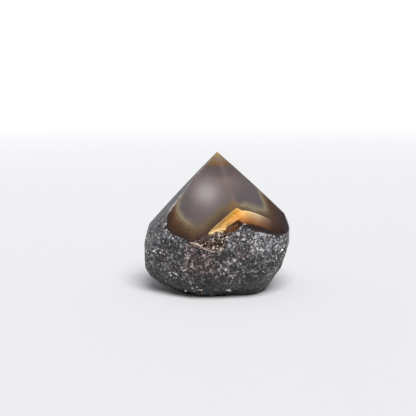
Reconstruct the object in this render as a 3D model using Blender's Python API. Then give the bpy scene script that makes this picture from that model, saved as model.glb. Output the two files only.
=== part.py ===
"""Agate point: a stout agate nodule ground to a six-sided point, with its rough skin left on below.

The nodule grew as one piece, so it is one solid. Its skin is a round form whose radius is worked out from
a few natural flats, with low lumps and pits. Six flat facets meet at the tip, and the foot is ground flat,
so that the stone stands by itself. At the front the skin is broken away: there is a ledge, a shallow chip
beside it, a recess under the ledge, and a pocket lined with small crystals.

Metres, +Z up. The stone's front looks toward -Y. The origin is on the table, under the middle of the stone.
Azimuths run from the front toward +X, in degrees, and elevations rise from level.
"""

import math

import bmesh
import bpy
import numpy as np
from mathutils import Matrix, Vector

# The heart is the point inside the nodule that its skin, facets, scoops and tip are measured from
HEART = Vector((0.0001, -0.0001, 0.0414))
TIP_ABOVE_HEART = 0.0540

# Edges between the six facets: azimuth, and the drop for each unit of run outward from the tip
FACET_EDGES = ((-107, 1.04), (-58, 0.985), (20, 0.93), (86, 0.905), (143, 0.96), (199, 1.00))
FRONT_LEFT = 1
FRONT_RIGHT = 2

# Natural flats of the skin: azimuth, elevation, distance from the heart
SKIN_FLATS = (
    (90, 27, 0.0482), (90, 0, 0.0525), (90, -28, 0.0506), (88, -50, 0.0585),
    (-90, 26, 0.0443), (-90, -8, 0.0552), (-92, -32, 0.0570), (-92, -52, 0.0575),
    (-61, 44, 0.0383), (-73, 16, 0.0454), (-36, 1, 0.0449),
    (12, 0, 0.0446), (24, 6, 0.0488), (54, -3, 0.0490),
    (0, -30, 0.0505), (-45, -32, 0.0560), (45, -35, 0.0555), (10, -58, 0.0495), (-60, -72, 0.0470),
    (180, 32, 0.0500), (180, -2, 0.0450), (180, -38, 0.0500),
    (135, -5, 0.0510), (-135, -8, 0.0515), (135, -42, 0.0550), (-135, -42, 0.0550),
    (-145, 25, 0.0470), (145, 25, 0.0470),
)
FLAT_ROUNDING = 14.0  # higher meets the flats more sharply

# Low lumps: sine waves across the nodule, each finer and a little lower than the one before
LUMPS = 9
LUMP_HEIGHT = 0.0004
LUMP_FADE = 0.12
LUMP_WAVES = 6.0
LUMP_WAVES_STEP = 2.2
LUMP_PHASE_STEP = 1.7

# Shallow pits and their shallow rises, with widths as angles in radians seen from the heart
PITS = 60
PIT_DEPTH = 0.0006
PIT_WIDTH = 0.075

# Scoops are ellipsoids with a slightly wavy wall
SCOOP_WAVE = 0.035
SCOOP_WAVES = (5.0, 7.0, 6.0)

CRYSTALS = 44
CRYSTAL_RADIUS = 0.0011
CRYSTAL_LENGTH = 0.0034
CRYSTAL_SEAT = 0.0012  # how deep a crystal's root sits in the pocket's wall
CRYSTAL_TIP = 0.25  # width of its flat tip beside its root
CRYSTAL_LEAN = 0.6

SKIN_COLUMNS = 116
SKIN_ROWS = 66
SCOOP_COLUMNS = 40
SCOOP_ROWS = 22
GOLDEN_ANGLE = math.pi * (3.0 - math.sqrt(5.0))
SMOOTH_ANGLE = math.radians(28)


def heading(azimuth, elevation):
    """Unit vector at an azimuth and an elevation, both in degrees."""
    turn = math.radians(azimuth)
    rise = math.radians(elevation)
    return Vector((math.sin(turn) * math.cos(rise), -math.cos(turn) * math.cos(rise), math.sin(rise)))


def spiral_directions(count):
    """Evenly spread unit vectors: equal steps down the Z axis, each turned on by the golden angle."""
    index = np.arange(count)
    z = 1.0 - (2.0 * index + 1.0) / count
    ring = np.sqrt(1.0 - z * z)
    return np.stack([np.cos(GOLDEN_ANGLE * index) * ring, np.sin(GOLDEN_ANGLE * index) * ring, z], axis=1)


def skin_radius(units):
    """Distance from the heart to the skin along each unit vector.

    Each flat by itself would be met at its distance / cosine. A high power mean of all of them rounds the
    meetings. Lumps are sine waves along evenly spread directions, and pits are small bell-shaped dents.
    """
    total = np.zeros(len(units))
    for azimuth, elevation, distance in SKIN_FLATS:
        facing = np.maximum(units @ np.array(heading(azimuth, elevation)), 0.0)
        total += (facing / distance) ** FLAT_ROUNDING
    radius = total ** (-1.0 / FLAT_ROUNDING)
    for index, direction in enumerate(spiral_directions(LUMPS)):
        wave = (LUMP_WAVES + LUMP_WAVES_STEP * index) * (units @ direction) + LUMP_PHASE_STEP * index
        radius += LUMP_HEIGHT / (1.0 + LUMP_FADE * index) * np.sin(wave)
    for index, direction in enumerate(spiral_directions(PITS)):
        width = PIT_WIDTH * (0.7 + 0.6 * math.sin(5.1 * index) ** 2)
        depth = PIT_DEPTH * math.sin(2.3 * index + 0.4)
        radius -= depth * np.exp((units @ direction - 1.0) / (0.5 * width**2))
    return radius


def facet_normals():
    """Outward normals of the six facets, each the plane through two neighbouring edges and the tip."""
    edges = []
    for azimuth, drop in FACET_EDGES:
        edges.append(heading(azimuth, 0) - Vector((0.0, 0.0, drop)))
    normals = []
    for first, second in zip(edges, edges[1:] + edges[:1]):
        normal = first.cross(second).normalized()
        normals.append(normal if normal.z > 0 else -normal)
    return normals


def frame_of(along, toward):
    """A turn whose X axis runs along the first vector and whose Y axis leans to the second."""
    x = Vector(along).normalized()
    y = Vector(toward)
    y = (y - x * y.dot(x)).normalized()
    return Matrix((x, y, x.cross(y))).transposed()


def rim_scoop(rim_point, along, facet, half_length, half_width, half_depth, stands_off):
    """Middle, turn and radii of a scoop that starts at a facet's rim.

    Its long axis follows the rim. Its middle stands off the facet, and lies below the rim by as much as
    brings the scoop's surface through the rim point.
    """
    normal = facet_normals()[facet]
    below = normal.cross(Vector(along)).normalized()
    if below.z > 0:
        below = -below
    inset = half_width * math.sqrt(1.0 - (stands_off / half_depth) ** 2)
    middle = HEART + Vector(rim_point) + below * inset + normal * stands_off
    return middle, frame_of(below.cross(normal), below), (half_length, half_width, half_depth)


def free_scoop(middle, along, half_length, half_depth, half_height):
    """Middle, turn and radii of a scoop whose depth runs to the back."""
    return HEART + Vector(middle), frame_of(along, (0.0, -1.0, 0.0)), (half_length, half_depth, half_height)


# Scoops, with their places given from the heart
SCOOPS = {
    "ledge": rim_scoop(
        (0.0031, -0.0370, 0.0128), (0.0166, 0.0055, 0.0137), FRONT_LEFT, 0.0184, 0.0044, 0.0062, 0.0006
    ),
    "chip": rim_scoop(
        (0.0248, -0.0252, 0.0156), (0.0384, 0.0292, -0.0133), FRONT_RIGHT, 0.0370, 0.0176, 0.0135, 0.0114
    ),
    "pocket_left": free_scoop((-0.0086, -0.0472, 0.0010), (24.0, 1.0, 3.0), 0.0130, 0.0070, 0.0069),
    "pocket_right": free_scoop((0.0010, -0.0455, 0.0016), (3.0, 0.0, 9.0), 0.0094, 0.0080, 0.0068),
    "recess": free_scoop((0.0098, -0.0402, 0.0086), (1.0, 0.0, 0.4), 0.0060, 0.0066, 0.0036),
}
POCKETS = ("pocket_left", "pocket_right")


def scoop_wave(local):
    """Size of a scoop's wall at a unit vector in the scoop's own frame, near one."""
    waves = [math.sin(count * part + count) for count, part in zip(SCOOP_WAVES, local)]
    return 1.0 + SCOOP_WAVE * sum(waves)


def scoop_wall(scoop, local):
    """Point of a scoop's wall at a unit vector in the scoop's own frame."""
    middle, turn, radii = scoop
    wave = scoop_wave(local)
    return middle + turn @ Vector([part * radius * wave for part, radius in zip(local, radii)])


def grind(bm, point, normal):
    """Cuts away all that lies beyond a plane, and closes the cut with one flat face."""
    geometry = bm.verts[:] + bm.edges[:] + bm.faces[:]
    cut = bmesh.ops.bisect_plane(
        bm, geom=geometry, dist=1e-7, plane_co=point, plane_no=normal, clear_outer=True
    )
    rim = [item for item in cut["geom_cut"] if isinstance(item, bmesh.types.BMEdge)]
    bmesh.ops.holes_fill(bm, edges=rim, sides=0)


def nodule():
    """The whole nodule: a sphere pushed out to the skin, then ground to the point and the foot."""
    bm = bmesh.new()
    bmesh.ops.create_uvsphere(bm, u_segments=SKIN_COLUMNS, v_segments=SKIN_ROWS, radius=1.0)
    units = np.array([vert.co.normalized() for vert in bm.verts])
    for vert, unit, radius in zip(bm.verts, units, skin_radius(units)):
        vert.co = HEART + Vector(unit) * radius
    for normal in facet_normals():
        grind(bm, HEART + Vector((0.0, 0.0, TIP_ABOVE_HEART)), normal)
    grind(bm, Vector((0.0, 0.0, 0.0)), Vector((0.0, 0.0, -1.0)))
    bmesh.ops.recalc_face_normals(bm, faces=bm.faces)
    return bm


def scoop_body(scoop):
    """A scoop as a closed form to cut with."""
    bm = bmesh.new()
    bmesh.ops.create_uvsphere(bm, u_segments=SCOOP_COLUMNS, v_segments=SCOOP_ROWS, radius=1.0)
    for vert in bm.verts:
        vert.co = scoop_wall(scoop, vert.co.normalized())
    return bm


def is_stone(point, own_scoop):
    """Whether a point lies in the stone, below the skin and the facets and in no scoop but its own."""
    offset = point - HEART
    unit = offset.normalized()
    reach = skin_radius(np.array([unit]))[0]
    for normal in facet_normals():
        if normal.dot(unit) > 0:
            reach = min(reach, TIP_ABOVE_HEART * normal.z / normal.dot(unit))
    if offset.length > reach - CRYSTAL_SEAT:
        return False
    for name, (middle, turn, radii) in SCOOPS.items():
        local = turn.transposed() @ (point - middle)
        reach = Vector([part / radius for part, radius in zip(local, radii)]).length
        if name != own_scoop and reach < 1.05:
            return False
    return True


def crystal_cluster():
    """Six-sided crystals on the back walls of the pocket, each leaning out of the wall that it grew on."""
    bm = bmesh.new()
    for index in range(CRYSTALS):
        name = POCKETS[index % 2]
        middle = SCOOPS[name][0]
        spread = 0.92 * math.sqrt((index + 0.5) / CRYSTALS)
        around = GOLDEN_ANGLE * index
        local = Vector((spread * math.cos(around), -math.sqrt(1.0 - spread**2), spread * math.sin(around)))
        wall = scoop_wall(SCOOPS[name], local)
        if not is_stone(wall, name):
            continue
        lean = Vector((0.5 * math.sin(3.0 * index), -0.4, 0.5 * math.cos(4.0 * index)))
        axis = ((middle - wall).normalized() + lean * CRYSTAL_LEAN).normalized()
        size = 0.75 + 0.5 * math.sin(1.9 * index) ** 2
        length = CRYSTAL_LENGTH * size
        place = Matrix.Translation(wall + axis * (0.5 * length - CRYSTAL_SEAT))
        bmesh.ops.create_cone(
            bm,
            cap_ends=True,
            segments=6,
            radius1=CRYSTAL_RADIUS * size,
            radius2=CRYSTAL_RADIUS * size * CRYSTAL_TIP,
            depth=length,
            matrix=place @ axis.to_track_quat("Z", "Y").to_matrix().to_4x4(),
        )
    return bm


def stone_material(name, colour, roughness):
    """A plain stone finish."""
    material = bpy.data.materials.new(name)
    material.use_nodes = True
    shader = material.node_tree.nodes["Principled BSDF"]
    shader.inputs["Base Color"].default_value = (*colour, 1.0)
    shader.inputs["Roughness"].default_value = roughness
    shader.inputs["Metallic"].default_value = 0.0
    material.diffuse_color = (*colour, 1.0)
    return material


def new_collection(name):
    """A collection in the scene."""
    collection = bpy.data.collections.new(name)
    bpy.context.scene.collection.children.link(collection)
    return collection


def add_object(name, bm, collection):
    """A named mesh object from a bmesh, in a collection."""
    mesh = bpy.data.meshes.new(name)
    bm.to_mesh(mesh)
    bm.free()
    item = bpy.data.objects.new(name, mesh)
    collection.objects.link(item)
    return item


def add_boolean(stone, operand, operation):
    """A Boolean on the stone by an object that isn't a piece by itself."""
    operand.hide_render = True
    operand.display_type = "WIRE"
    modifier = stone.modifiers.new(operand.name, "BOOLEAN")
    modifier.operation = operation
    modifier.solver = "EXACT"
    modifier.object = operand
    return modifier


def build():
    """The stone, with its scoops cut and its crystals joined on."""
    for item in list(bpy.data.objects):
        bpy.data.objects.remove(item)
    parts = new_collection("agate_wand")
    cutters = new_collection("cutters")

    stone = add_object("agate_point", nodule(), parts)
    stone.data.materials.append(stone_material("nodule_skin", (0.060, 0.058, 0.062), 0.75))
    stone.data.materials.append(stone_material("polished_agate", (0.150, 0.110, 0.105), 0.12))
    for polygon in stone.data.polygons:
        ground = any(polygon.normal.dot(normal) > 0.99999 for normal in facet_normals())
        polygon.material_index = 1 if ground else 0

    for name, scoop in SCOOPS.items():
        add_boolean(stone, add_object(name, scoop_body(scoop), cutters), "DIFFERENCE")
    crystals = add_boolean(stone, add_object("pocket_crystals", crystal_cluster(), cutters), "UNION")
    crystals.use_self = True

    stone.data.shade_smooth()
    stone.data.set_sharp_from_angle(angle=SMOOTH_ANGLE)


build()
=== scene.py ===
"""Looks of the agate point: polished facets with their bands, rough skin, a broken ledge, a crystal pocket.

The stone is one closed surface, worked out as a distance from its heart along each heading. It repeats the
named forms of the solid that it stands for and adds the fine relief. Small crystals, a thin lip of crust and
light grains are further pieces of the same stone. Metres, +Z up, with the stone's front toward -Y.
"""

import math

import bpy
import numpy as np
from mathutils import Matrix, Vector


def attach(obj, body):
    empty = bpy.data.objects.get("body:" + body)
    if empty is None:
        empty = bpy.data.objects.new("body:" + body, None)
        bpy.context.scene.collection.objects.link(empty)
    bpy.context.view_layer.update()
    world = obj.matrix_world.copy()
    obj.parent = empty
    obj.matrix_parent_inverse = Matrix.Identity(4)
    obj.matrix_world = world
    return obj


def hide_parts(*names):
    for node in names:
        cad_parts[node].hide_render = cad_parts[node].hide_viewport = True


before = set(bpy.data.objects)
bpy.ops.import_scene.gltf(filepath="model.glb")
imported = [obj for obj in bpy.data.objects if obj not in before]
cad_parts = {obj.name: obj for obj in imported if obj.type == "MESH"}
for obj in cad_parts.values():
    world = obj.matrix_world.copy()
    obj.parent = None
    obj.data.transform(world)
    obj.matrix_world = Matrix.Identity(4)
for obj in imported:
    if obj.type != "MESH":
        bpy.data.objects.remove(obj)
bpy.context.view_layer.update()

MM = 0.001

# The heart is the point inside the nodule that its skin, facets, scoops and tip are measured from
HEART = np.array([0.0001, -0.0001, 0.0414])
TIP_ABOVE_HEART = 0.0540
TIP = np.array([0.0, 0.0, TIP_ABOVE_HEART])
FOOT_MIDDLE = np.array([0.0, 0.0, -HEART[2]])

# Edges between the six facets: azimuth, and the drop for each unit of run outward from the tip
FACET_EDGES = ((-107, 1.04), (-58, 0.985), (20, 0.93), (86, 0.905), (143, 0.96), (199, 1.00))
FRONT_LEFT = 1
FRONT_RIGHT = 2
FACET_CROWN = 1.3  # radius of the slight crown that hand polishing leaves on a facet
CROWN_RISE = 0.00015  # how far the crown's middle stands above the facet's plane
CROWN_MIDDLE = 0.030  # how far from the tip, down a facet, its crown is highest
EDGE_SHARPNESS = 300.0  # higher meets the facets more sharply

# Natural flats of the skin: azimuth, elevation, distance from the heart
SKIN_FLATS = (
    (90, 27, 0.0482), (90, 0, 0.0525), (90, -28, 0.0506), (88, -50, 0.0585),
    (-90, 26, 0.0443), (-90, -8, 0.0552), (-92, -32, 0.0570), (-92, -52, 0.0575),
    (-61, 44, 0.0383), (-73, 16, 0.0454), (-36, 1, 0.0449),
    (12, 0, 0.0446), (24, 6, 0.0488), (54, -3, 0.0490),
    (0, -30, 0.0505), (-45, -32, 0.0560), (45, -35, 0.0555), (10, -58, 0.0495), (-60, -72, 0.0470),
    (180, 32, 0.0500), (180, -2, 0.0450), (180, -38, 0.0500),
    (135, -5, 0.0510), (-135, -8, 0.0515), (135, -42, 0.0550), (-135, -42, 0.0550),
    (-145, 25, 0.0470), (145, 25, 0.0470),
)
FLAT_ROUNDING = 14.0  # higher meets the flats more sharply
FARTHEST = 0.12  # no part of the skin's form is taken as further out than this

# The wall that the agate's bands follow: as the skin, but further out over the left side, where the stone was
# ground off, and a little under the front
GROUND_OFF = ((-90, 26), (-61, 44), (-73, 16), (-36, 1))
BAND_FLATS = tuple(flat for flat in SKIN_FLATS if flat[:2] not in GROUND_OFF) + (
    (-88, 24, 0.0490), (-60, 36, 0.0485), (-56, 9, 0.0482), (-32, 1, 0.0466),
)

# Low lumps of the skin: how many waves, the first one's height, and how height, waves and phase go on
LUMPS = 9
LUMP_HEIGHT = 0.0004
LUMP_FADE = 0.12
LUMP_WAVES = 6.0
LUMP_WAVES_STEP = 2.2
LUMP_PHASE_STEP = 1.7

# Pits of the skin: how many, the deepest one's depth, and the usual width as an angle in radians
PITS = 60
PIT_DEPTH = 0.0006
PIT_WIDTH = 0.075

# Waves in the scoops' walls: their height as a share of the scoop's radius, and how many along each axis
SCOOP_WAVE = 0.035
SCOOP_WAVES = np.array([5.0, 7.0, 6.0])

GOLDEN_ANGLE = math.pi * (3.0 - math.sqrt(5.0))

# Fine relief of the skin, the broken walls and the ridges: cell size and height of each layer of grain
SKIN_GRAIN = ((0.0065, 0.00034), (0.0031, 0.00026), (0.0016, 0.00020), (0.0009, 0.00012))
WALL_GRAIN = ((0.0030, 0.00030), (0.0014, 0.00022), (0.0008, 0.00012))
RIDGE_GRAIN = ((0.0016, 0.00016), (0.0008, 0.00010))
RIM_FADE = 0.0012  # how far under the facets the skin's relief reaches its full height
CUT_FADE = 0.0012  # how far under the old surface a broken wall's relief reaches its full height
CHIP_GRAIN = 0.25  # share of that relief on the chip, which broke smooth

# Patches over which the skin's grain is higher or lower: size, and the share of its height, mean and swing
GRAIN_PATCH = 0.014
PATCH_MEAN = 0.75
PATCH_SWING = 0.45

# Small sharp hollows between the grains: spacing, depth, and the noise values that they start and end at
HOLLOW_CELL = 0.0024
HOLLOW_DEPTH = 0.0007
HOLLOW_START = 0.52
HOLLOW_END = 0.82

# The worn strip of skin: its first and last azimuth, and the elevations that it starts above there
WORN_AZIMUTHS = (-112.0, -56.0)
WORN_ELEVATIONS = (-14.0, 12.0)
WORN_RELIEF = 0.3  # share of the relief that is left there

# Columns of the surface, in degrees of azimuth, closer together at the front, and its rows
FRONT_HALF = 100.0
FRONT_STEP = 0.5
BACK_STEP = 0.76
EDGE_OFFSETS = (-0.45, -0.2, -0.07, 0.0, 0.07, 0.2, 0.45)
CLEAR_OF_EDGE = 0.62  # degrees beside a facet edge that have only its own close columns
FACET_ROWS = 30
RIM_ROWS = 38
SKIN_ROWS = 72
FOOT_ROWS = 7
RIM_BAND = 17.0  # degrees below the facets' rim that the finer rows cover
RIM_SMOOTHING = 6.0  # degrees round the stone over which the lower edge of those rows is evened out
RIM_SCAN = (88.0, -25.0, 220)  # first and last elevation where the rim is looked for, and how many
FOOT_SCAN = (-40.0, -86.0)  # elevations that the foot's edge lies between


def heading(azimuth, elevation):
    """Unit vectors at azimuths and elevations in degrees: from the front toward +X, and up from level."""
    turn = np.radians(np.asarray(azimuth, float))
    rise = np.radians(np.asarray(elevation, float))
    level = np.cos(rise)
    return np.stack([np.sin(turn) * level, -np.cos(turn) * level, np.sin(rise) + 0 * turn], axis=-1)


def unit_of(vectors):
    """Vectors divided by their lengths."""
    return vectors / np.linalg.norm(vectors, axis=-1, keepdims=True)


def rising(values, start, end):
    """A share that rises evenly from 0 at the start to 1 at the end, whichever of them is greater."""
    return np.clip((values - start) / (end - start), 0.0, 1.0)


def spiral_directions(count):
    """Evenly spread unit vectors: equal steps down the Z axis, each turned on by the golden angle."""
    index = np.arange(count)
    z = 1.0 - (2.0 * index + 1.0) / count
    ring = np.sqrt(1.0 - z * z)
    return np.stack([np.cos(GOLDEN_ANGLE * index) * ring, np.sin(GOLDEN_ANGLE * index) * ring, z], axis=1)


def lattice_noise(points, cell, seed):
    """Smooth noise from -1 to 1: a random value at each corner of a cubic lattice, eased between them."""
    scaled = np.asarray(points) / cell + 37.0 * seed
    corner = np.floor(scaled).astype(np.int64)
    part = scaled - corner
    ease = part * part * (3.0 - 2.0 * part)
    total = np.zeros(scaled.shape[:-1])
    for step in np.ndindex(2, 2, 2):
        x, y, z = np.moveaxis(corner + np.array(step), -1, 0)
        scrambled = (x * 73856093) ^ (y * 19349663) ^ (z * 83492791) ^ (seed * 2654435761)
        scrambled = (scrambled ^ (scrambled >> 13)) * 1274126177
        value = ((scrambled >> 7) & 0xFFFF) / 32767.5 - 1.0
        weight = np.prod(np.where(np.array(step), ease, 1.0 - ease), axis=-1)
        total += weight * value
    return total


def layered(points, layers, seed):
    """Sum of lattice noises, one for each pair of cell size and height."""
    total = np.zeros(points.shape[:-1])
    for index, (cell, height) in enumerate(layers):
        total += height * lattice_noise(points, cell, seed + index)
    return total


# The stone's form


def flats_form(units, flats):
    """Distance from the heart to a round form with natural flats.

    Each flat alone would be met at its distance / cosine, and a high power mean rounds their meetings.
    """
    total = np.zeros(units.shape[:-1])
    for azimuth, elevation, distance in flats:
        facing = np.maximum(units @ heading(azimuth, elevation), 0.0)
        total += (facing / distance) ** FLAT_ROUNDING
    return np.maximum(total, 1e-30) ** (-1.0 / FLAT_ROUNDING)


def skin_form(units):
    """Distance from the heart to the smooth skin along unit vectors.

    The form of the flats, with lumps as sine waves along evenly spread directions, and with pits as
    bell-shaped dents.
    """
    radius = flats_form(units, SKIN_FLATS)
    for index, direction in enumerate(spiral_directions(LUMPS)):
        wave = (LUMP_WAVES + LUMP_WAVES_STEP * index) * (units @ direction) + LUMP_PHASE_STEP * index
        radius += LUMP_HEIGHT / (1.0 + LUMP_FADE * index) * np.sin(wave)
    for index, direction in enumerate(spiral_directions(PITS)):
        width = PIT_WIDTH * (0.7 + 0.6 * math.sin(5.1 * index) ** 2)
        depth = PIT_DEPTH * math.sin(2.3 * index + 0.4)
        radius -= depth * np.exp((units @ direction - 1.0) / (0.5 * width**2))
    return np.minimum(radius, FARTHEST)


def is_worn(units):
    """Whether a heading meets the worn strip of skin: under the unpolished side, above a slanting line."""
    azimuth = np.degrees(np.arctan2(units[..., 0], -units[..., 1]))
    elevation = np.degrees(np.arcsin(np.clip(units[..., 2], -1.0, 1.0)))
    beside = (azimuth > WORN_AZIMUTHS[0]) & (azimuth < WORN_AZIMUTHS[1])
    return beside & (elevation > np.interp(azimuth, WORN_AZIMUTHS, WORN_ELEVATIONS))


def rough_skin(units, facets):
    """The skin with its fine relief: layers of grain, and small sharp hollows between the grains.

    The relief fades out toward the facets, whose distances are given, so that their rim stays clean. It is
    low on the worn strip.
    """
    smooth = skin_form(units)
    points = units * smooth[..., None]
    grain = layered(points, SKIN_GRAIN, 3)
    hollows = HOLLOW_DEPTH * rising(lattice_noise(points, HOLLOW_CELL, 11), HOLLOW_START, HOLLOW_END) ** 1.5
    patch = PATCH_MEAN + PATCH_SWING * lattice_noise(points, GRAIN_PATCH, 19)
    fade = rising(facets - smooth, 0.0, RIM_FADE) * np.where(is_worn(units), WORN_RELIEF, 1.0)
    return smooth + (grain * patch - hollows) * fade


def edge_directions():
    """Directions down the edges between facets: one unit of run outward, and each edge's own drop."""
    azimuths, drops = np.array(FACET_EDGES, float).T
    edges = heading(azimuths, 0.0)
    edges[:, 2] = -drops
    return edges


def facet_planes():
    """Outward normals of the six facets, each the plane through two neighbouring edges and the tip."""
    edges = edge_directions()
    normals = unit_of(np.cross(edges, np.roll(edges, -1, axis=0)))
    return normals * np.sign(normals[:, 2:])


FACETS = facet_planes()


def facet_reaches(units):
    """Distance from the heart to each crowned facet, one column a facet: where the line meets its sphere."""
    reaches = []
    for normal in FACETS:
        downhill = unit_of(np.array([0.0, 0.0, -1.0]) + normal * normal[2])
        centre = TIP + downhill * CROWN_MIDDLE + normal * (CROWN_RISE - FACET_CROWN)
        along = units @ centre
        inside = along**2 - centre @ centre + FACET_CROWN**2
        reach = along + np.sqrt(np.maximum(inside, 0.0))
        reaches.append(np.where((units @ normal > 0.05) & (inside > 0), reach, 1.0))
    return np.stack(reaches, axis=-1)


def facet_reach(units):
    """Nearest facet along each unit vector, with the meetings slightly rounded by a high power mean."""
    reaches = facet_reaches(units)
    nearest = reaches.min(axis=-1)
    share = (nearest[..., None] / reaches) ** EDGE_SHARPNESS
    return nearest * share.sum(axis=-1) ** (-1.0 / EDGE_SHARPNESS)


def frame_of(along, toward):
    """A turn whose first column runs along one vector and whose second leans to the other."""
    x = unit_of(np.asarray(along, float))
    y = np.asarray(toward, float)
    y = unit_of(y - x * (y @ x))
    return np.stack([x, y, np.cross(x, y)], axis=1)


def rim_scoop(rim_point, along, facet, half_length, half_width, half_depth, stands_off):
    """Middle, turn and radii of a scoop that starts at a facet's rim, its middle below and off the rim."""
    normal = FACETS[facet]
    below = unit_of(np.cross(normal, along))
    if below[2] > 0:
        below = -below
    inset = half_width * math.sqrt(1.0 - (stands_off / half_depth) ** 2)
    middle = np.array(rim_point) + below * inset + normal * stands_off
    radii = np.array([half_length, half_width, half_depth])
    return middle, frame_of(np.cross(below, normal), below), radii


def free_scoop(middle, along, half_length, half_depth, half_height):
    """Middle, turn and radii of a scoop whose depth runs to the back."""
    radii = np.array([half_length, half_depth, half_height])
    return np.array(middle), frame_of(along, (0.0, -1.0, 0.0)), radii


# Scoops, with their places given from the heart
SCOOPS = {
    "ledge": rim_scoop(
        (0.0031, -0.0370, 0.0128), (0.0166, 0.0055, 0.0137), FRONT_LEFT, 0.0184, 0.0044, 0.0062, 0.0006
    ),
    "chip": rim_scoop(
        (0.0248, -0.0252, 0.0156), (0.0384, 0.0292, -0.0133), FRONT_RIGHT, 0.0370, 0.0176, 0.0135, 0.0114
    ),
    "pocket_left": free_scoop((-0.0086, -0.0472, 0.0010), (24.0, 1.0, 3.0), 0.0130, 0.0070, 0.0069),
    "pocket_right": free_scoop((0.0010, -0.0455, 0.0016), (3.0, 0.0, 9.0), 0.0094, 0.0080, 0.0068),
    "recess": free_scoop((0.0098, -0.0402, 0.0086), (1.0, 0.0, 0.4), 0.0060, 0.0066, 0.0036),
}
SCOOP_NAMES = list(SCOOPS)
POCKETS = ("pocket_left", "pocket_right")


def scoop_gaps(points):
    """Rough distance of each point outside each scoop's wavy wall, one column a scoop.

    In a scoop's own frame, with each axis divided by its radius, it is the length less the wave, brought back
    to metres by how much that direction was stretched.
    """
    gaps = []
    for middle, turn, radii in SCOOPS.values():
        local = (points - middle) @ turn / radii
        length = np.linalg.norm(local, axis=-1) + 1e-9
        stretch = length / np.linalg.norm(local / radii, axis=-1)
        waves = np.sin(SCOOP_WAVES * local / length[..., None] + SCOOP_WAVES)
        gaps.append((length - 1.0 - SCOOP_WAVE * waves.sum(axis=-1)) * stretch)
    return np.stack(gaps, axis=-1)


def in_scoop(points):
    """Whether each point lies inside any of the scoops."""
    return scoop_gaps(points).min(axis=-1) < 0


def scoop_wall(name, local):
    """Points of a scoop's wall at unit vectors in its own frame, measured from the heart."""
    middle, turn, radii = SCOOPS[name]
    wave = 1.0 + SCOOP_WAVE * np.sin(SCOOP_WAVES * local + SCOOP_WAVES).sum(axis=-1)
    return middle + (local * radii * wave[..., None]) @ turn.T


FACET, SKIN, FOOT, BROKEN = 0, 1, 2, 3
MARCH_STEP = 0.0004
MARCH_STEPS = 40
WALL_HALVINGS = 9


def surface(units):
    """Distance from the heart to the stone's surface, what it is there, and which scoop made it.

    The nearest of skin and facets comes first. Where that point lies in a scoop, the line is followed inward
    until it leaves the scoops, and halving finds the wall. The foot is a level plane below the heart.
    """
    facets = facet_reach(units)
    skin = rough_skin(units, facets)
    reach = np.minimum(skin, facets)
    kind = np.where(facets < skin, FACET, SKIN)
    scoop = np.zeros(reach.shape, int)

    lost = in_scoop(units * reach[..., None])
    aim = units[lost]
    inner = reach[lost]
    open_way = np.ones(inner.shape, bool)
    for _ in range(MARCH_STEPS):
        inner = np.where(open_way, inner - MARCH_STEP, inner)
        open_way &= in_scoop(aim * inner[:, None])
    inner = halved(lambda at: ~in_scoop(aim * at[:, None]), inner, inner + MARCH_STEP, WALL_HALVINGS)
    wall = aim * inner[:, None]
    scoop[lost] = scoop_gaps(wall).argmin(axis=-1)
    coarse = np.where(scoop[lost] == SCOOP_NAMES.index("chip"), CHIP_GRAIN, 1.0)
    cut_depth = rising(reach[lost] - inner, 0.0, CUT_FADE)
    reach[lost] = inner + layered(wall, WALL_GRAIN, 23) * coarse * cut_depth
    kind[lost] = BROKEN

    down = np.maximum(-units[..., 2], 1e-6)
    foot = HEART[2] / down
    kind = np.where(foot < reach, FOOT, kind)
    return np.minimum(reach, foot), kind, scoop


def halved(holds, high, low, rounds=12):
    """Values where a test that holds at the first ones and not at the second ones stops holding."""
    for _ in range(rounds):
        middle = 0.5 * (high + low)
        good = holds(middle)
        high = np.where(good, middle, high)
        low = np.where(good, low, middle)
    return high


def turned_between(first, second):
    """Degrees from each of the second azimuths to each of the first ones, between -180 and 180."""
    return (first[:, None] - second[None, :] + 180.0) % 360.0 - 180.0


def column_azimuths():
    """Azimuths of the columns: even steps, finer at the front, with a close set about each facet edge."""
    front = np.arange(-FRONT_HALF, FRONT_HALF, FRONT_STEP)
    back = np.arange(FRONT_HALF, 360.0 - FRONT_HALF, BACK_STEP)
    even = np.concatenate([front, back])
    edges = np.array([azimuth for azimuth, _ in FACET_EDGES], float)
    clear = np.abs(turned_between(even, edges)).min(axis=1) > CLEAR_OF_EDGE
    close = (edges[:, None] + np.array(EDGE_OFFSETS)[None, :]).ravel()
    return np.unique(np.concatenate([even[clear], close]) % 360.0)


def smoothed_round(values, azimuths, width):
    """Values round the stone, each the mean of its neighbours weighted by a bell curve of that width."""
    weight = np.exp(-0.5 * (turned_between(azimuths, azimuths) / width) ** 2)
    return (weight @ values) / weight.sum(axis=1)


def shares(count):
    """Even shares from 1 / count to 1, as rows of a grid."""
    return (np.arange(1, count + 1) / count)[:, None]


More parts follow.
